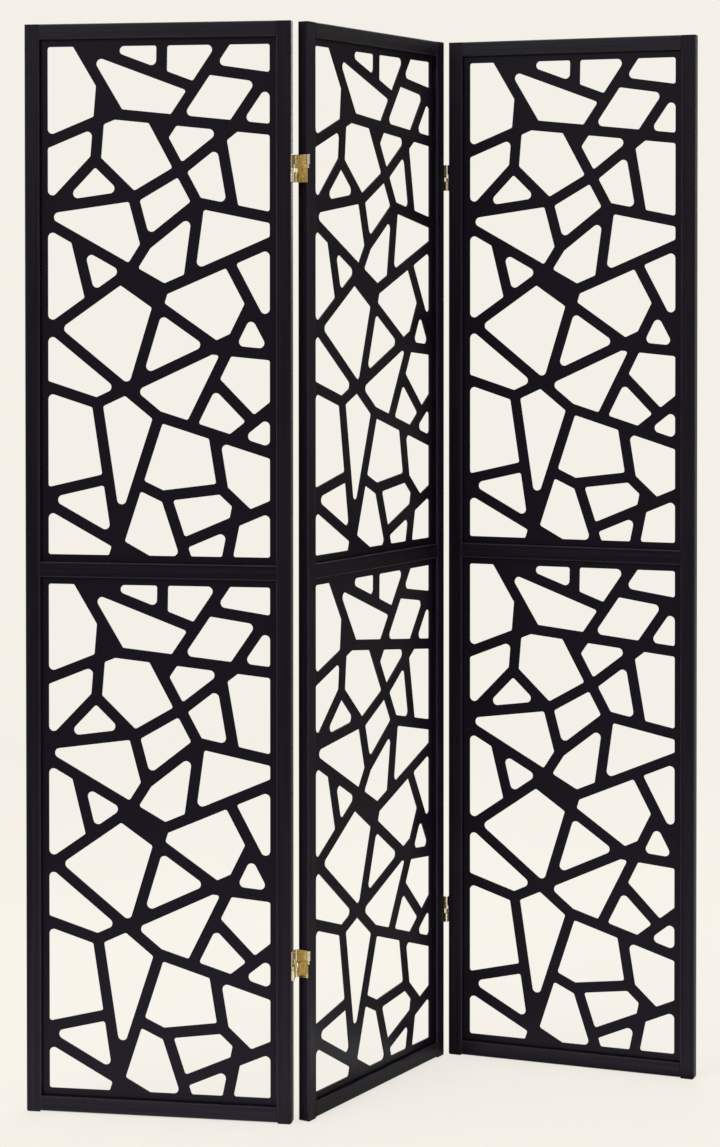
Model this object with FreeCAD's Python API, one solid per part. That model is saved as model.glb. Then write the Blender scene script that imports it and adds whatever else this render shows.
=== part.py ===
import FreeCAD, Part
import os

# Three-panel folding screen with cut-out lattice sheets and double-action brass hinges.
# Millimetres, +Z up. The screen stands in a zigzag, its front towards -Y, on the feet of its stiles.
# A panel is drawn lying in its own frame: X across it from the left, Y from its front face to its back.

# Panel frame
PANEL_W = 445.0
PANEL_H = 1784.0
FRAME_T = 19.0
STILE_W = 25.0
RAIL_H = 25.0
ARRIS = 1.5          # bevel on the long edges of stiles and rails
FOOT = 1.5           # the stiles reach this far below the bottom rail
FOOT_EASE = 2.5      # bevel on both sides of a stile's foot
TENON_L = 15.0
TENON_T = 8.0
TENON_SHOULDER = 1.5  # wood left between a tenon and the grooves beside it
TENON_PLAY = 0.1
MORTISE_ROOM = 0.5   # glue room at the bottom of a mortise

# Lattice sheets, held in grooves round each opening
SHEET_T = 3.0
SHEET_PLAY = 0.1     # between each face of a sheet and its groove
SHEET_FLOAT = 1.0    # room for a sheet to move, at its sides and its top
GROOVE_D = 7.0
BORDER = 11.5        # plain border of a sheet that shows inside the frame
BAR_W = 17.5         # width of the lattice bars
SMALLEST_CELL_R = 6.0  # an opening with a smaller inscribed radius is left solid

# Double-action hinges, two for each fold
HINGE_BELOW_TOP = 237.5
HINGE_ABOVE_FOOT = 257.5
LEAF_H = 45.0
LEAF_T = 1.2
LINK_T = 1.2
LINK_PLAY = 1.2      # between a link and the leaf on each side of it, with the screen opened flat
LINK_END_PLAY = 0.4  # between a link's plate and the knuckles of the leaves
PIN_R = 1.5
PIN_PLAY = 0.03      # running fit of a pin in a knuckle
PIN_STANDOFF = 2.6   # pin axes in front of and behind the frame's faces
KNUCKLE_L = 16.0
KNUCKLE_GAP = 0.2    # between a knuckle and the lug of the link beside it
HALVES_GAP = 0.6     # between the upper and the lower pins

# How the screen stands: the angle of each panel from the X axis
PANELS = {"left_panel": -10.0, "middle_panel": 59.0, "right_panel": -21.0}

# The lattice as it was drawn: straight bars on a field, each from end to end of its middle line.
# Ends outside the field run on under the border.
FIELD_DRAWN = (372.0, 830.0)
BARS = [
    # top third, down to the first long cross bars
    ((45, 845), (120.5, 718.5)),
    ((51, 834.5), (247.5, 761)),
    ((193, 845), (192, 782)),
    ((305, 845), (193.5, 681.5)),
    ((266, 791), (387, 773)),
    ((365, 776.5), (311.5, 699)),
    ((91.5, 769), (81, 644)),
    ((-15, 668.5), (112, 719.5)),
    ((87.5, 722), (387, 690.5)),
    ((176, 713), (251.5, 574.5)),
    ((316, 698.5), (223.5, 627)),
    ((291, 679), (311.5, 562.5)),
    # middle, between the two left-hand stars
    ((80, 645.5), (-16, 546)),
    ((81, 645), (144, 584.5)),
    ((223.5, 628.5), (143.5, 582.5)),
    ((-15, 564.5), (143.5, 586.5)),
    ((144.5, 584), (165.5, 506)),
    ((251.5, 574.5), (387, 547)),
    ((251.5, 573.5), (165.5, 506.5)),
    ((254.5, 574.5), (237.5, 452)),
    ((-15, 551), (196, 434)),
    ((387, 515.5), (196, 434)),
    ((48, 516), (72.5, 417)),
    ((165.5, 506), (139.5, 465.5)),
    ((140.5, 464), (-15, 355.5)),
    ((122, 452), (282, 341.5)),
    ((303, 480), (388.5, 320)),
    ((340, 410.5), (239.5, 210)),
    ((194, 434), (146, 278)),
    ((-15, 388.5), (187.5, 226)),
    ((312, 355), (84, 249)),
    ((387, 327), (285, 336.5)),
    # bottom third
    ((-15, 279.5), (84, 248)),
    ((279, 286), (344, 220)),
    ((387, 252.5), (307, 189.5)),
    ((189, 226.5), (387, 165)),
    ((83, 249), (118, 18.5)),
    ((186.5, 226), (107, -15)),
    ((278.5, 199), (293, 111)),
    ((-15, 97.5), (101.5, 125)),
    ((-15, 91.5), (180, -15)),
    ((150, 118), (199, 95)),
    ((193, 98), (293, 111)),
    ((198, 99), (236, -15)),
    ((292, 110), (337.5, 68)),
    ((387, 89), (225, 20)),
    ((318.5, 85), (298, -15)),
]

# Sizes that follow from those above
OPEN_W = PANEL_W - 2 * STILE_W
OPEN_H = (PANEL_H - FOOT - 3 * RAIL_H) / 2
RAILS = {"bottom_rail": FOOT, "middle_rail": FOOT + RAIL_H + OPEN_H, "top_rail": PANEL_H - RAIL_H}
OPENINGS = {"lower_fretwork": FOOT + RAIL_H, "upper_fretwork": FOOT + 2 * RAIL_H + OPEN_H}
TENON_H = RAIL_H - 2 * GROOVE_D - 2 * TENON_SHOULDER
FIELD_W = OPEN_W - 2 * BORDER
FIELD_H = OPEN_H - 2 * BORDER
GAP = 2 * LEAF_T + LINK_T + 2 * LINK_PLAY
KNUCKLE_R = GAP / 2
PIN_Y = FRAME_T / 2 + PIN_STANDOFF
HINGE_HEIGHTS = {"lower": HINGE_ABOVE_FOOT, "upper": PANEL_H - HINGE_BELOW_TOP}

V = FreeCAD.Vector
UP = V(0, 0, 1)


def block(x_span, y_span, z_span):
    size = [span[1] - span[0] for span in (x_span, y_span, z_span)]
    return Part.makeBox(*size, V(x_span[0], y_span[0], z_span[0]))


def prism(points, along):
    outline = Part.makePolygon([*points, points[0]])
    return Part.Face(outline).extrude(along)


def around(middle, width):
    return (middle - width / 2, middle + width / 2)


def eased_bar(width, length):
    """Bar of the frame's thickness standing along +Z, with its four long edges bevelled."""
    x, y = width, FRAME_T
    section = [(ARRIS, 0), (x - ARRIS, 0), (x, ARRIS), (x, y - ARRIS)]
    section += [(x - ARRIS, y), (ARRIS, y), (0, y - ARRIS), (0, ARRIS)]
    return prism([V(px, py, 0) for px, py in section], V(0, 0, length))


def sheet_room(opening_z):
    """What the grooves round one opening leave for its sheet."""
    x_span = (STILE_W - GROOVE_D, PANEL_W - STILE_W + GROOVE_D)
    y_span = around(FRAME_T / 2, SHEET_T + 2 * SHEET_PLAY)
    return block(x_span, y_span, (opening_z - GROOVE_D, opening_z + OPEN_H + GROOVE_D))


def tenons(rail_z, play=0.0, room=0.0):
    """The tenons at both ends of a rail, as one bar through it, or with play their mortises."""
    reach = TENON_L + room
    x_span = (STILE_W - reach, PANEL_W - STILE_W + reach)
    y_span = around(FRAME_T / 2, TENON_T + 2 * play)
    return block(x_span, y_span, around(rail_z + RAIL_H / 2, TENON_H + 2 * play))


def rail(rail_z):
    bar = eased_bar(RAIL_H, OPEN_W)
    bar.rotate(V(), V(0, 1, 0), 90)
    bar.translate(V(STILE_W, 0, rail_z + RAIL_H))
    rooms = [sheet_room(z) for z in OPENINGS.values()]
    return bar.fuse(tenons(rail_z)).cut(rooms).removeSplitter()


def foot_bevel(corner_x, inward):
    points = [V(corner_x, 0, 0), V(corner_x + inward, 0, 0), V(corner_x, 0, FOOT_EASE)]
    return prism(points, V(0, FRAME_T, 0))


def stile(left_x):
    post = eased_bar(STILE_W, PANEL_H)
    post.translate(V(left_x, 0, 0))
    feet = [foot_bevel(left_x, FOOT_EASE), foot_bevel(left_x + STILE_W, -FOOT_EASE)]
    mortises = [tenons(z, TENON_PLAY, MORTISE_ROOM) for z in RAILS.values()]
    rooms = [sheet_room(z) for z in OPENINGS.values()]
    return post.cut(feet + mortises + rooms)


def lattice_bar(start, end):
    """One bar of the lattice as a block through the sheet, in the field's own frame."""
    x_scale = FIELD_W / FIELD_DRAWN[0]
    z_scale = FIELD_H / FIELD_DRAWN[1]
    first = V(start[0] * x_scale, 0, start[1] * z_scale)
    last = V(end[0] * x_scale, 0, end[1] * z_scale)
    side = (last - first).cross(V(0, 1, 0)).normalize() * (BAR_W / 2)
    return prism([first + side, last + side, last - side, first - side], V(0, SHEET_T, 0))


def inscribed_radius(cell):
    front = min(cell.Faces, key=lambda face: face.CenterOfMass.y)
    return 2 * front.Area / front.Length


def fretwork():
    """Lattice sheet with its lower left corner at the lower left corner of an opening."""
    field = block((0, FIELD_W), (0, SHEET_T), (0, FIELD_H))
    openings = field.cut([lattice_bar(*bar) for bar in BARS]).Solids
    cells = [cell for cell in openings if inscribed_radius(cell) > SMALLEST_CELL_R]
    for cell in cells:
        cell.translate(V(BORDER, 0, BORDER))
    tongue = GROOVE_D - SHEET_FLOAT
    sheet = block((-tongue, OPEN_W + tongue), (0, SHEET_T), (-GROOVE_D, OPEN_H + tongue))
    return sheet.cut(cells)


# A hinge is drawn with the screen opened flat, about the middle of the gap between two panels.
# Its left leaf has the rear upper knuckle and the front lower knuckle, and its right leaf is the
# same leaf turned half round. The upper link crosses from the rear upper pin to the front upper
# pin, the lower link between the lower pins, and each link is brazed to its two pins.

UPPER_PIN_SPAN = (HALVES_GAP / 2, LEAF_H / 2)


def cylinder(radius, y, z_span):
    return Part.makeCylinder(radius, z_span[1] - z_span[0], V(0, y, z_span[0]))


def left_leaf():
    plate_x = (-GAP / 2, -GAP / 2 + LEAF_T)
    solid = block(plate_x, around(0, FRAME_T), around(0, LEAF_H))
    upper_span = (LEAF_H / 2 - KNUCKLE_L, LEAF_H / 2)
    lower_span = (-LEAF_H / 2, KNUCKLE_L - LEAF_H / 2)
    for pin_y, z_span in ((PIN_Y, upper_span), (-PIN_Y, lower_span)):
        strip = block(plate_x, tuple(sorted((0, pin_y))), z_span)
        solid = solid.fuse([strip, cylinder(KNUCKLE_R, pin_y, z_span)])
        solid = solid.cut(cylinder(PIN_R + PIN_PLAY, pin_y, z_span))
    return solid.removeSplitter()


def right_leaf():
    return turned(left_leaf(), UP)


def upper_pins():
    return Part.Compound([cylinder(PIN_R, y, UPPER_PIN_SPAN) for y in (PIN_Y, -PIN_Y)])


def upper_link():
    """Plate between the leaves, with a lug at each end that is hollowed to fit its pin."""
    thickness = around(0, LINK_T)
    plate_w = 2 * (PIN_Y - KNUCKLE_R - LINK_END_PLAY)
    plate = block(thickness, around(0, plate_w), UPPER_PIN_SPAN)
    lug_span = (HALVES_GAP / 2, LEAF_H / 2 - KNUCKLE_L - KNUCKLE_GAP)
    lugs = block(thickness, around(0, 2 * PIN_Y), lug_span)
    return plate.fuse(lugs).cut(upper_pins()).removeSplitter()


def turned(piece, axis):
    half_round = piece.copy()
    half_round.rotate(V(), axis, 180)
    return half_round


def lower_pins():
    return turned(upper_pins(), V(0, 1, 0))


def lower_link():
    return turned(upper_link(), V(0, 1, 0))


# What each panel carries of the hinges on its edges, with the links that ride with it in a fold.
HINGE_PIECES = {
    ("left_panel", "right"): {"left_leaf": left_leaf, "lower_link": lower_link, "lower_pins": lower_pins},
    ("middle_panel", "left"): {"right_leaf": right_leaf, "upper_link": upper_link, "upper_pins": upper_pins},
    ("middle_panel", "right"): {"left_leaf": left_leaf, "upper_link": upper_link, "upper_pins": upper_pins},
    ("right_panel", "left"): {"right_leaf": right_leaf, "lower_link": lower_link, "lower_pins": lower_pins},
}
FOLDS = {("left_panel", "right"): "left_fold", ("middle_panel", "left"): "left_fold"}
FOLDS |= {("middle_panel", "right"): "right_fold", ("right_panel", "left"): "right_fold"}


def panel_pieces(panel):
    """Every piece of one panel by name, in the panel's own frame."""
    pieces = {}
    for side, left_x in (("left", 0.0), ("right", PANEL_W - STILE_W)):
        pieces[f"{panel}_{side}_stile"] = stile(left_x)
    for name, rail_z in RAILS.items():
        pieces[f"{panel}_{name}"] = rail(rail_z)
    for name, opening_z in OPENINGS.items():
        sheet = SHEET.copy()
        sheet.translate(V(STILE_W, (FRAME_T - SHEET_T) / 2, opening_z))
        pieces[f"{panel}_{name}"] = sheet
    for (owner, edge), makers in HINGE_PIECES.items():
        if owner != panel:
            continue
        middle_x = PANEL_W + GAP / 2 if edge == "right" else -GAP / 2
        for level, height in HINGE_HEIGHTS.items():
            for name, make in makers.items():
                piece = make()
                piece.translate(V(middle_x, FRAME_T / 2, height))
                pieces[f"{FOLDS[owner, edge]}_{level}_hinge_{name}"] = piece
    return pieces


def fold_axes():
    """Where each fold's pin axis lies in the frame of the panel before it and of the panel after it."""
    rear = FRAME_T + PIN_STANDOFF
    left_fold = (V(PANEL_W + GAP / 2, rear, 0), V(-GAP / 2, rear, 0))
    right_fold = (V(PANEL_W + GAP / 2, -PIN_STANDOFF, 0), V(-GAP / 2, -PIN_STANDOFF, 0))
    return left_fold, right_fold


def standing_panels():
    """Placement of each panel, joined at the fold axes, and the axes themselves."""
    turns = [FreeCAD.Rotation(UP, angle) for angle in PANELS.values()]
    origin = V()
    placements = [FreeCAD.Placement(origin, turns[0])]
    axes = []
    for (before, after), turn in zip(fold_axes(), turns[1:]):
        axis = placements[-1].multVec(before)
        placements.append(FreeCAD.Placement(axis - turn.multVec(after), turn))
        axes.append(axis)
    return dict(zip(PANELS, placements)), axes


def main():
    placements, axes = standing_panels()
    nodes = {}
    for panel, placement in placements.items():
        for name, piece in panel_pieces(panel).items():
            piece.Placement = placement.multiply(piece.Placement)
            nodes[name] = piece
    middle = Part.Compound(list(nodes.values())).optimalBoundingBox(False, False).Center
    shift = V(-middle.x, -middle.y, 0)
    os.makedirs("parts", exist_ok=True)
    for name, piece in nodes.items():
        piece.translate(shift)
        piece.exportStep(f"parts/{name}.step")
    for name, axis in zip(("left fold", "right fold"), axes):
        print(f"{name} axis at {axis + shift}")


SHEET = fretwork()
main()
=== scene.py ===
import math

import bmesh
import bpy
from mathutils import Euler, Matrix, Vector
from mathutils.geometry import tessellate_polygon


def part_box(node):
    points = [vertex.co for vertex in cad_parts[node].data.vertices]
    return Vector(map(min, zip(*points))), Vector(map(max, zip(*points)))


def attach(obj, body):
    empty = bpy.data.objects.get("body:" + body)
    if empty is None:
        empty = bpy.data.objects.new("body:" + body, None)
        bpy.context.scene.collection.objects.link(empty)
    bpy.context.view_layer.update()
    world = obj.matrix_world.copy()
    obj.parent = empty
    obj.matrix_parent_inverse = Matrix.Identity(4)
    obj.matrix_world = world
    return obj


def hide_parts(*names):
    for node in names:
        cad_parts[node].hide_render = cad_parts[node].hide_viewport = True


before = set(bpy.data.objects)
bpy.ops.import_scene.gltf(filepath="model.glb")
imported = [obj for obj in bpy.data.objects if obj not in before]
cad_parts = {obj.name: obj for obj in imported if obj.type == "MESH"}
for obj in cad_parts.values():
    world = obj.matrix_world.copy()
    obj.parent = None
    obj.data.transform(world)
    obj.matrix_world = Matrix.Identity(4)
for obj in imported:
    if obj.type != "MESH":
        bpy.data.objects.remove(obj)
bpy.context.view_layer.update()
bpy.context.scene.view_settings.view_transform = "Standard"

# Sizes in metres. The panel's own frame has X across it from the left, Y from front to back.
PANEL_W = 0.445
STILE_W = 0.025
FRAME_T = 0.019
SHEET_T = 0.003
ARRIS_ROUND = 0.0006
WOOD_EDGE = math.radians(25)   # edges of the frames that turn more than this are rounded
NARROW = 0.003       # faces below this width count as part of an edge
SAME_PLACE = 1e-6

# The cells of the fretwork
SHEET_ARRIS = 0.0004
TIP_R = 0.0080       # sharp corners
CORNER_R = 0.0038    # other corners
SHARP_CORNER = math.radians(75)
CORNER_STEP = math.radians(15)
MOST_OF_SIDE = 0.42  # the rounding of a corner takes up no more of the sides beside it
EDGE_COAT = 0.0003   # filler and paint on the sawn edges
SHORT_SIDE = 0.011   # a side below this is lost in the rounding of its corner
STRAIGHT_TURN = 0.003  # sine of a turn that still counts as a straight stretch

# The hinges. A screw's spot is its place on the leaf, across and up from the middle.
LEAF_T = 0.0012
HINGE_GAP = 0.0060   # between two panels that stand in line
BRASS_ROUND = 0.00015
BRASS_EDGE = math.radians(40)  # edges of the hinges that turn more than this are rounded
SCREW_SPOTS = ((-0.0048, 0.0150), (0.0048, -0.0150))
SCREW_HEAD_R = 0.0023
SCREW_SET = 0.00008  # heads lie this far below the face of the leaf
SINK_PLAY = 0.0001   # round a screw head in its countersink
SINK_ROOT = 0.6      # of the head's radius
SINK_DEPTH = 0.85    # of the leaf's thickness
HEAD_RINGS = ((0.62, 0.0009), (1.0, 0.0001), (0.94, 0.0))  # share of the head's radius, depth
CROSS_ARM = 0.60     # length and half width of the recess's arms, of the head's radius
CROSS_HALF = 0.15
CROSS_TAPER = 0.8    # the recess's floor, of its mouth
CROSS_DEPTH = 0.0006

PANELS = ("left_panel", "middle_panel", "right_panel")

# Paint, metal and backdrop
GRAIN_RELIEF = 0.00015   # depth of the grain in the paint on solid wood
BOARD_RELIEF = 0.00001   # and of the unevenness on the sheets
PAINT_DARK = (0.0014, 0.0008, 0.0034)
PAINT_LIGHT = (0.0068, 0.0054, 0.0098)
# paler arris colour of the paint: partly scuffs, partly a painted highlight along the edges
PAINT_RUBBED_AND_HIGHLIT = (0.017, 0.0155, 0.0195)
# paler edge colour of the brass: partly rubbing, partly a painted highlight
BRASS_RUBBED_AND_HIGHLIT = (0.46, 0.425, 0.34)
BACKGROUND = (0.905, 0.871, 0.799, 1.0)
FLOOR_R = 3.9
FLOOR_FADE = (1.2, 3.8)  # the floor runs out into the backdrop between these distances
ON_FLOOR = 0.0005        # height of the lamps that stand for light from the floor

# Sockets of a Mix node, which has a set of its own for every kind of value
FACTOR, FLOAT_A, FLOAT_B, COLOUR_A, COLOUR_B, FLOAT_MIX, COLOUR_MIX = 0, 2, 3, 6, 7, 0, 2


def node_middle(node):
    low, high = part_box(node)
    return (low + high) / 2


def panel_matrix(panel):
    """From the panel's own frame to the shared frame, read from where its stiles stand."""
    left = node_middle(f"{panel}_left_stile")
    across = node_middle(f"{panel}_right_stile") - left
    turn = Matrix.Rotation(math.atan2(across.y, across.x), 4, "Z")
    corner = left - turn @ Vector((STILE_W / 2, FRAME_T / 2, 0))
    return Matrix.Translation((corner.x, corner.y, 0)) @ turn


# Materials


def new_material(name):
    material = bpy.data.materials.new(name)
    material.use_nodes = True
    nodes = material.node_tree.nodes
    return material, nodes, material.node_tree.links, nodes["Principled BSDF"]


def noise(nodes, links, vector, scale, detail=3.0, roughness=0.5):
    node = nodes.new("ShaderNodeTexNoise")
    node.inputs["Scale"].default_value = scale
    node.inputs["Detail"].default_value = detail
    node.inputs["Roughness"].default_value = roughness
    links.new(vector, node.inputs["Vector"])
    return node.outputs["Fac"]


def stretched(nodes, links, source, scale):
    mapping = nodes.new("ShaderNodeMapping")
    mapping.inputs["Scale"].default_value = scale
    links.new(source, mapping.inputs["Vector"])
    return mapping.outputs["Vector"]


def ranged(nodes, links, value, span, to_span=(0.0, 1.0)):
    """A value with one span stretched to another, and cut off at its ends."""
    node = nodes.new("ShaderNodeMapRange")
    for name, number in zip(("From Min", "From Max", "To Min", "To Max"), (*span, *to_span)):
        node.inputs[name].default_value = number
    links.new(value, node.inputs["Value"])
    return node.outputs["Result"]


def mixed(nodes, links, factor, first, second):
    node = nodes.new("ShaderNodeMix")
    node.data_type = "RGBA"
    node.inputs[COLOUR_A].default_value = (*first, 1)
    node.inputs[COLOUR_B].default_value = (*second, 1)
    links.new(factor, node.inputs[FACTOR])
    return node.outputs[COLOUR_MIX]


def worn_and_highlit_edges(nodes):
    """1 where a piece's mesh is marked for scuffs and a painted highlight, and 0 elsewhere."""
    node = nodes.new("ShaderNodeAttribute")
    node.attribute_name = "wear_and_highlight"
    return node.outputs["Fac"]


def bump(nodes, links, height, distance, strength, below=None):
    node = nodes.new("ShaderNodeBump")
    node.inputs["Distance"].default_value = distance
    node.inputs["Strength"].default_value = strength
    links.new(height, node.inputs["Height"])
    if below is not None:
        links.new(below, node.inputs["Normal"])
    return node.outputs["Normal"]


def painted_wood(name, along, open_grain, sheen, figure=1.0):
    """Satin black paint with spray texture, and paler edges that are partly scuffs and partly a painted
    highlight.

    Grain along an axis shows through it. On a board there is no such axis, and little figure.
    """
    material, nodes, links, shader = new_material(name)
    place = nodes.new("ShaderNodeTexCoord").outputs["Object"]

    def grain(across, lengthwise, detail):
        scale = [lengthwise if axis == along else across for axis in "xyz"]
        return noise(nodes, links, stretched(nodes, links, place, scale), 1.0, detail, 0.6)

    bands = grain(across=150.0, lengthwise=1.6, detail=3.0)
    streaks = grain(across=620.0, lengthwise=5.0, detail=4.0)
    pores = grain(across=1700.0, lengthwise=28.0, detail=2.0)
    spray = noise(nodes, links, place, scale=1500.0, detail=2.0)
    patchy = noise(nodes, links, place, scale=160.0, detail=4.0, roughness=0.7)
    # the arrises are paler in patches: partly scuffs, partly a painted highlight line
    rubbed_and_highlit = nodes.new("ShaderNodeMath")
    rubbed_and_highlit.operation = "MULTIPLY"
    links.new(worn_and_highlit_edges(nodes), rubbed_and_highlit.inputs[0])
    links.new(ranged(nodes, links, patchy, (0.35, 0.65), (0.45, 1.0)), rubbed_and_highlit.inputs[1])
    light = ranged(nodes, links, bands, (0.32, 0.68), (0.5 - figure / 2, 0.5 + figure / 2))
    paint = mixed(nodes, links, light, PAINT_DARK, PAINT_LIGHT)
    worn_and_highlit = mixed(nodes, links, rubbed_and_highlit.outputs[0], PAINT_DARK, PAINT_RUBBED_AND_HIGHLIT)
    links.new(paint, worn_and_highlit.node.inputs[COLOUR_A])
    links.new(worn_and_highlit, shader.inputs["Base Color"])
    links.new(ranged(nodes, links, streaks, (0.3, 0.7), (0.30, 0.46)), shader.inputs["Roughness"])
    shader.inputs["Specular IOR Level"].default_value = sheen
    pits = ranged(nodes, links, pores, (0.56, 0.72), (1.0, 0.0))
    relief = bump(nodes, links, spray, distance=0.00002, strength=0.25)
    relief = bump(nodes, links, pits, open_grain, 0.5, relief)
    relief = bump(nodes, links, streaks, open_grain, 0.7, relief)
    relief = bump(nodes, links, bands, 4 * open_grain, 0.5, relief)
    links.new(relief, shader.inputs["Normal"])
    return material


def brass(name, colour, tarnish, smooth, rough):
    """Old brass plate: tarnish in spots, rolling marks, and paler at the edges, partly from rubbing and
    partly as a painted highlight.
    """
    material, nodes, links, shader = new_material(name)
    place = nodes.new("ShaderNodeTexCoord").outputs["Object"]
    spots = noise(nodes, links, place, scale=420.0, detail=4.0, roughness=0.6)
    drawn_out = stretched(nodes, links, place, (2600.0, 2600.0, 120.0))
    rolled = noise(nodes, links, drawn_out, scale=1.0, detail=3.0)
    # paler at the marked edges: partly rubbing, partly a painted highlight
    rubbed_and_highlit = mixed(nodes, links, worn_and_highlit_edges(nodes), colour, BRASS_RUBBED_AND_HIGHLIT)
    tarnished = mixed(nodes, links, ranged(nodes, links, spots, (0.4, 0.75)), colour, tarnish)
    links.new(rubbed_and_highlit, tarnished.node.inputs[COLOUR_A])
    links.new(tarnished, shader.inputs["Base Color"])
    links.new(ranged(nodes, links, spots, (0.3, 0.75), (smooth, rough)), shader.inputs["Roughness"])
    shader.inputs["Metallic"].default_value = 1.0
    links.new(bump(nodes, links, rolled, distance=0.00003, strength=0.5), shader.inputs["Normal"])
    return material


# Mesh helpers


def finish_piece(name, bm, material, matrix, body, replaced=()):
    """A new piece from a mesh, set in the scene by a matrix, that moves with a body."""
    mesh = bpy.data.meshes.new(name)
    bm.to_mesh(mesh)
    bm.free()
    mesh.materials.append(material)
    piece = bpy.data.objects.new(name, mesh)
    bpy.context.scene.collection.objects.link(piece)
    piece.matrix_world = matrix
    weighted = piece.modifiers.new("weighted normals", "WEIGHTED_NORMAL")
    weighted.keep_sharp = True
    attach(piece, body)
    if replaced:
        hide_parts(*replaced)


def solid_of_node(node, matrix):
    """The CAD node's mesh in the frame of a matrix, joined at its edges, its flat faces whole."""
    bm = bmesh.new()
    bm.from_mesh(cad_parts[node].data)
    bmesh.ops.transform(bm, matrix=matrix.inverted(), verts=bm.verts)
    bmesh.ops.remove_doubles(bm, verts=bm.verts, dist=SAME_PLACE)
    bmesh.ops.dissolve_limit(bm, angle_limit=math.radians(1), verts=bm.verts, edges=bm.edges)
    return bm


def round_edges(bm, width, segments, least_angle):
    """Rounds the sharp edges, and marks them and the narrow bevels beside them for scuffs and a painted
    highlight.
    """
    wear_and_highlight = bm.verts.layers.float.new("wear_and_highlight")
    sharp = [e for e in bm.edges if len(e.link_faces) == 2 and e.calc_face_angle(0) > least_angle]
    bmesh.ops.bevel(bm, geom=sharp, offset=width, segments=segments, profile=0.5,
                    affect="EDGES", clamp_overlap=True)
    broad = {f for f in bm.faces if f.calc_area() > NARROW * max(e.calc_length() for e in f.edges)}
    for vertex in bm.verts:
        vertex[wear_and_highlight] = 0.0 if any(f in broad for f in vertex.link_faces) else 1.0
    for face in bm.faces:
        face.smooth = face not in broad


def sheet_loops(bm):
    """Outlines on the front of a sheet: its edge first, then the edge of every cell."""
    front_y = min(v.co.y for v in bm.verts)
    front = [f for f in bm.faces if all(abs(v.co.y - front_y) < SAME_PLACE for v in f.verts)]
    rims = {}
    for face in front:
        for loop in face.loops:
            other = [f for f in loop.edge.link_faces if f is not face]
            if not any(f in front for f in other):
                rims[loop.vert] = loop.link_loop_next.vert
    loops = []
    while rims:
        start, vertex = rims.popitem()
        outline = [start]
        while vertex is not start:
            outline.append(vertex)
            vertex = rims.pop(vertex)
        loops.append([Vector((v.co.x, v.co.z)) for v in outline])
    loops.sort(key=lambda points: -abs(area(points)))
    return loops


def area(points):
    return sum(a.x * b.y - b.x * a.y for a, b in zip(points, points[1:] + points[:1])) / 2


def counter_clockwise(points):
    return points if area(points) > 0 else points[::-1]


def corners_of(points):
    """The points where an outline turns, without those on a straight stretch."""
    kept = []
    for before, here, after in zip(points[-1:] + points[:-1], points, points[1:] + points[:1]):
        turn = (here - before).normalized().cross((after - here).normalized())
        if abs(turn) > STRAIGHT_TURN:
            kept.append(here)
    return kept


def closed_up(points):
    """A convex outline without its short sides, whose neighbours run on until they meet."""
    points = list(points)
    i = 0
    while i < len(points):
        before, first, last, after = (points[(i + k) % len(points)] for k in (-1, 0, 1, 2))
        along, on = first - before, after - last
        if (last - first).length < SHORT_SIDE and along.cross(on) > 0:
            points[i] = first + along * ((last - first).cross(on) / along.cross(on))
            del points[(i + 1) % len(points)]
        else:
            i += 1
    return points


def rounded(points):
    """A convex cell's outline with its corners rounded as a cutter leaves them."""
    outline = []
    for before, here, after in zip(points[-1:] + points[:-1], points, points[1:] + points[:1]):
        back, on = before - here, after - here
        angle = back.angle(on)
        radius = TIP_R if angle < SHARP_CORNER else CORNER_R
        reach = min(radius / math.tan(angle / 2), MOST_OF_SIDE * min(back.length, on.length))
        radius = reach * math.tan(angle / 2)
        inwards = (back.normalized() + on.normalized()).normalized()
        middle = here + inwards * (radius / math.sin(angle / 2))
        first = here + back.normalized() * reach - middle
        sweep = math.pi - angle
        steps = max(2, round(sweep / CORNER_STEP))
        for step in range(steps + 1):
            turn = Matrix.Rotation(sweep * step / steps, 2)
            outline.append(middle + turn @ first)
    return outline


def grown(points, distance):
    """A counter-clockwise outline moved outwards by a distance."""
    moved = []
    for before, here, after in zip(points[-1:] + points[:-1], points, points[1:] + points[:1]):
        a, b = (here - before).normalized(), (after - here).normalized()
        out = Vector((a.y, -a.x)) + Vector((b.y, -b.x))
        moved.append(here + out * (2 * distance / out.length_squared))
    return moved


def walls(bm, rings):
    """Smooth bands from ring to ring of vertices."""
    for ring, following in zip(rings, rings[1:]):
        for i in range(len(ring)):
            j = (i + 1) % len(ring)
            bm.faces.new((ring[i], ring[j], following[j], following[i])).smooth = True


def flat_face(bm, outline, openings, normal_axis):
    """Flat face across one axis, bounded by a ring of vertices, with such rings as its openings."""
    rings = [outline] + list(openings)
    across = [axis for axis in range(3) if axis != normal_axis]
    flat = [v for ring in rings for v in ring]
    drawn = [[Vector((v.co[across[0]], v.co[across[1]], 0)) for v in ring] for ring in rings]
    for triangle in tessellate_polygon(drawn):
        bm.faces.new([flat[i] for i in triangle])


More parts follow.
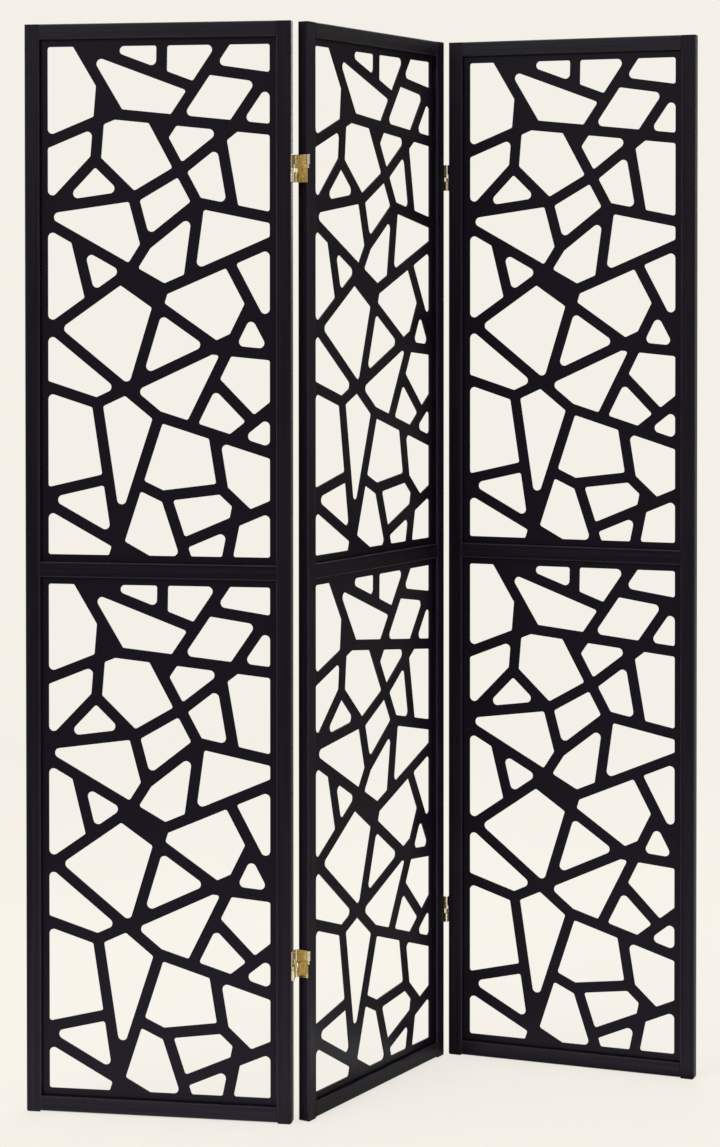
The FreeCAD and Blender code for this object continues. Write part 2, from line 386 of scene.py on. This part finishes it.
def fretwork_mesh(loops):
    """Sheet with rounded cells and softened edges, its front face at y 0."""
    bm = bmesh.new()
    wear_and_highlight = bm.verts.layers.float.new("wear_and_highlight")
    outlines = [counter_clockwise(corners_of(loops[0]))]
    for loop in loops[1:]:
        cell = closed_up(counter_clockwise(corners_of(loop)))
        outlines.append(rounded(grown(cell, -EDGE_COAT)))
    fronts, backs = [], []
    for number, outline in enumerate(outlines):
        face_outline = grown(outline, -SHEET_ARRIS if number == 0 else SHEET_ARRIS)
        rings = []
        for points, y in ((face_outline, 0), (outline, SHEET_ARRIS),
                          (outline, SHEET_T - SHEET_ARRIS), (face_outline, SHEET_T)):
            rings.append([bm.verts.new((p.x, y, p.y)) for p in points])
        # the arrises of the cells are marked for scuffs and a painted highlight
        for vertex in rings[1] + rings[2]:
            vertex[wear_and_highlight] = 1.0
        walls(bm, rings)
        fronts.append(rings[0])
        backs.append(rings[-1])
    flat_face(bm, fronts[0], fronts[1:], 1)
    flat_face(bm, backs[0], backs[1:], 1)
    bmesh.ops.recalc_face_normals(bm, faces=bm.faces)
    return bm


def leaf_ring(bm, radius, x, spot, steps=32):
    """Circle of vertices round a spot of a hinge leaf."""
    y, z = spot
    angles = [2 * math.pi * i / steps for i in range(steps)]
    return [bm.verts.new((x, y + radius * math.cos(a), z + radius * math.sin(a))) for a in angles]


def drill_leaf(bm):
    """Countersinks for the screws in the face of a leaf that looks into the gap."""
    face_x = LEAF_T - HINGE_GAP / 2
    level = [f for f in bm.faces if all(abs(v.co.x - face_x) < SAME_PLACE for v in f.verts)]
    face = max(level, key=lambda f: f.calc_area())
    mouths = []
    for spot in SCREW_SPOTS:
        mouth = leaf_ring(bm, SCREW_HEAD_R + SINK_PLAY, face_x, spot)
        root = leaf_ring(bm, SINK_ROOT * SCREW_HEAD_R, face_x - SINK_DEPTH * LEAF_T, spot)
        walls(bm, (mouth, root))
        bm.faces.new(root)
        mouths.append(mouth)
    outline = list(face.verts)
    bm.faces.remove(face)
    flat_face(bm, outline, mouths, 0)
    bmesh.ops.recalc_face_normals(bm, faces=bm.faces)


def screw_head(bm, spot):
    """Countersunk head with a cross recess, set a little below the face of its leaf."""
    top = LEAF_T - HINGE_GAP / 2 - SCREW_SET
    sides = [leaf_ring(bm, share * SCREW_HEAD_R, top - depth, spot) for share, depth in HEAD_RINGS]
    walls(bm, sides)
    bm.faces.new(sides[0])
    arm, half = CROSS_ARM * SCREW_HEAD_R, CROSS_HALF * SCREW_HEAD_R
    quarter = [(arm, -half), (arm, half), (half, half)]
    turns = ((1, 0), (0, 1), (-1, 0), (0, -1))
    cross = [(x * c - y * s, x * s + y * c) for c, s in turns for x, y in quarter]
    rings = [[bm.verts.new((top - depth, spot[0] + size * x, spot[1] + size * y)) for x, y in cross]
             for size, depth in ((1.0, 0.0), (CROSS_TAPER, CROSS_DEPTH))]
    mouth, floor = rings
    for i in range(len(mouth)):
        j = (i + 1) % len(mouth)
        bm.faces.new((mouth[i], mouth[j], floor[j], floor[i]))
    bm.faces.new(floor)
    flat_face(bm, sides[-1], [mouth], 0)
    bmesh.ops.recalc_face_normals(bm, faces=bm.faces)


# The paints and metals in use


stile_paint = painted_wood("satin_black_stile", "z", GRAIN_RELIEF, sheen=0.07)
member_paints = {
    "left_stile": stile_paint,
    "right_stile": stile_paint,
    "top_rail": painted_wood("satin_black_top_rail", "x", GRAIN_RELIEF, sheen=0.10),
    "middle_rail": painted_wood("satin_black_middle_rail", "x", GRAIN_RELIEF, sheen=0.06),
    "bottom_rail": painted_wood("satin_black_bottom_rail", "x", GRAIN_RELIEF, sheen=0.07),
}
board_paint = painted_wood("satin_black_board", "", BOARD_RELIEF, sheen=0.055, figure=0.2)
leaf_brass = brass("hinge_brass", (0.54, 0.44, 0.22), (0.18, 0.125, 0.045), smooth=0.18, rough=0.36)
pin_brass = brass("pin_brass", (0.50, 0.41, 0.22), (0.18, 0.135, 0.06), smooth=0.22, rough=0.40)
screw_brass = brass("screw_brass", (0.52, 0.43, 0.23), (0.24, 0.185, 0.08), smooth=0.18, rough=0.34)

# The frames

matrices = {panel: panel_matrix(panel) for panel in PANELS}
for panel, matrix in matrices.items():
    for name, paint in member_paints.items():
        node = f"{panel}_{name}"
        bm = solid_of_node(node, matrix)
        round_edges(bm, ARRIS_ROUND, 3, WOOD_EDGE)
        finish_piece(f"{node}_painted", bm, paint, matrix, panel, [node])

# The fretwork sheets, all cut to one pattern

pattern_node = "left_panel_upper_fretwork"
pattern = solid_of_node(pattern_node, matrices["left_panel"])
loops = sheet_loops(pattern)
pattern.free()
pattern_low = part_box(pattern_node)[0].z
for panel, matrix in matrices.items():
    for name in ("upper_fretwork", "lower_fretwork"):
        node = f"{panel}_{name}"
        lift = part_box(node)[0].z - pattern_low
        place = matrix @ Matrix.Translation((0, (FRAME_T - SHEET_T) / 2, lift))
        sheet = fretwork_mesh(loops)
        finish_piece(f"{node}_cut", sheet, board_paint, place, panel, [node])

# The hinges: leaves drilled for their screws, the rest as built

for name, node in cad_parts.items():
    if "hinge" not in name or name.endswith("leaf"):
        continue
    node.data.materials.clear()
    node.data.materials.append(pin_brass if name.endswith("pins") else leaf_brass)
    soft = node.modifiers.new("softened edges", "BEVEL")
    soft.width = BRASS_ROUND
    soft.segments = 2
    soft.angle_limit = BRASS_EDGE

FOLDS = {"left_fold": ("left_panel", "middle_panel"), "right_fold": ("middle_panel", "right_panel")}
for fold, panels in FOLDS.items():
    for level in ("upper", "lower"):
        for side, panel in zip(("left", "right"), panels):
            node = f"{fold}_{level}_hinge_{side}_leaf"
            edge = PANEL_W + HINGE_GAP / 2 if side == "left" else -HINGE_GAP / 2
            matrix = matrices[panel] @ Matrix.Translation((edge, FRAME_T / 2, node_middle(node).z))
            if side == "right":
                matrix = matrix @ Matrix.Rotation(math.pi, 4, "Z")
            leaf = solid_of_node(node, matrix)
            round_edges(leaf, BRASS_ROUND, 2, BRASS_EDGE)
            drill_leaf(leaf)
            finish_piece(f"{node}_drilled", leaf, leaf_brass, matrix, panel, [node])
            heads = bmesh.new()
            for spot in SCREW_SPOTS:
                screw_head(heads, spot)
            finish_piece(f"{node}_screws", heads, screw_brass, matrix, panel)

# The camera, which looks as the photograph does

camera_data = bpy.data.cameras.new("camera")
camera_data.lens = 84.11
camera_data.shift_x = -0.048
camera_data.shift_y = -0.2134
camera = bpy.data.objects.new("camera", camera_data)
bpy.context.scene.collection.objects.link(camera)
camera.location = (0.0244, -4.5238, 1.356)
camera.rotation_euler = (math.pi / 2 - 0.0158, 0.0, -0.012)
bpy.context.scene.camera = camera

# Floor and light


def shown_to_lens(nodes, links):
    """1 for rays that the camera, a reflection or a clear surface sees, and 0 for lighting rays."""
    path = nodes.new("ShaderNodeLightPath")
    most = path.outputs["Is Camera Ray"]
    for name in ("Is Glossy Ray", "Is Transmission Ray"):
        larger = nodes.new("ShaderNodeMath")
        larger.operation = "MAXIMUM"
        links.new(most, larger.inputs[0])
        links.new(path.outputs[name], larger.inputs[1])
        most = larger.outputs[0]
    return most


def floor_material():
    """Pale floor that shows the backdrop's colour, takes shadows and runs out into the backdrop."""
    material, nodes, links, shader = new_material("pale_floor")
    shader.inputs["Base Color"].default_value = (0.80, 0.77, 0.71, 1)
    shader.inputs["Roughness"].default_value = 0.9
    shader.inputs["Specular IOR Level"].default_value = 0.1
    pale = nodes.new("ShaderNodeEmission")
    pale.inputs["Color"].default_value = BACKGROUND
    level = nodes.new("ShaderNodeMix")
    level.inputs[FLOAT_A].default_value = 0.0
    level.inputs[FLOAT_B].default_value = 0.8
    links.new(shown_to_lens(nodes, links), level.inputs[FACTOR])
    blend = nodes.new("ShaderNodeMixShader")
    links.new(level.outputs[FLOAT_MIX], blend.inputs[0])
    links.new(shader.outputs[0], blend.inputs[1])
    links.new(pale.outputs[0], blend.inputs[2])
    place = nodes.new("ShaderNodeTexCoord").outputs["Object"]
    distance = nodes.new("ShaderNodeVectorMath")
    distance.operation = "LENGTH"
    links.new(place, distance.inputs[0])
    fade = ranged(nodes, links, distance.outputs["Value"], FLOOR_FADE)
    clear = nodes.new("ShaderNodeBsdfTransparent")
    edge = nodes.new("ShaderNodeMixShader")
    links.new(fade, edge.inputs[0])
    links.new(blend.outputs[0], edge.inputs[1])
    links.new(clear.outputs[0], edge.inputs[2])
    links.new(edge.outputs[0], nodes["Material Output"].inputs["Surface"])
    return material


floor_bm = bmesh.new()
bmesh.ops.create_circle(floor_bm, cap_ends=True, segments=96, radius=FLOOR_R)
floor_mesh = bpy.data.meshes.new("floor")
floor_bm.to_mesh(floor_mesh)
floor_bm.free()
floor_mesh.materials.append(floor_material())
floor = bpy.data.objects.new("floor", floor_mesh)
bpy.context.scene.collection.objects.link(floor)

world = bpy.data.worlds.new("studio")
world.use_nodes = True
bpy.context.scene.world = world
sky_nodes, sky_links = world.node_tree.nodes, world.node_tree.links
sky_light = sky_nodes["Background"]
sky_light.inputs["Color"].default_value = (1.0, 0.985, 0.96, 1)
sky_light.inputs["Strength"].default_value = 0.45
sky_seen = sky_nodes.new("ShaderNodeBackground")
sky_seen.inputs["Color"].default_value = BACKGROUND
sky_seen.inputs["Strength"].default_value = 1.0
sky_mix = sky_nodes.new("ShaderNodeMixShader")
sky_links.new(shown_to_lens(sky_nodes, sky_links), sky_mix.inputs[0])
sky_links.new(sky_light.outputs[0], sky_mix.inputs[1])
sky_links.new(sky_seen.outputs[0], sky_mix.inputs[2])
sky_links.new(sky_mix.outputs[0], sky_nodes["World Output"].inputs["Surface"])


def softbox(name, place, aim, size, power, turn=0.0):
    """Rectangular lamp that looks at a point, turned about the vertical, and not seen itself."""
    data = bpy.data.lights.new(name, "AREA")
    data.shape = "RECTANGLE"
    data.size, data.size_y = size
    data.energy = power
    lamp = bpy.data.objects.new(name, data)
    bpy.context.scene.collection.objects.link(lamp)
    lamp.location = place
    lamp.visible_camera = False
    lamp.rotation_euler = (Vector(aim) - Vector(place)).to_track_quat("-Z", "Y").to_euler()
    lamp.rotation_euler.rotate(Euler((0, 0, turn)))


def floor_lamp(name, x, y, size, power, turn=0.0):
    """Light that a part of the pale floor throws up."""
    softbox(name, (x, y, ON_FLOOR), (x, y, 1), size, power, turn)


softbox("key_softbox", (-2.6, -3.0, 3.4), (0, 0, 0.9), (2.2, 2.2), 100)
softbox("fill_softbox", (3.0, -2.4, 2.4), (0, 0, 0.9), (2.0, 2.6), 26)
softbox("top_softbox", (0.0, 0.2, 4.2), (0, 0, 0.6), (3.0, 2.0), 90)
softbox("left_strip", (-3.6, -0.2, 1.2), (0, 0, 1.0), (0.5, 2.6), 26)
floor_lamp("left_bounce", -0.54, -0.56, (0.82, 1.0), 4.4)
floor_lamp("right_bounce", 0.40, -0.65, (1.06, 0.8), 4.6)
floor_lamp("nook_bounce", 0.34, 0.0, (0.44, 0.17), 0.42, turn=math.radians(-21))  # along the right panel
softbox("back_softbox", (0.8, 3.4, 2.6), (0, 0, 0.9), (2.4, 2.4), 60)
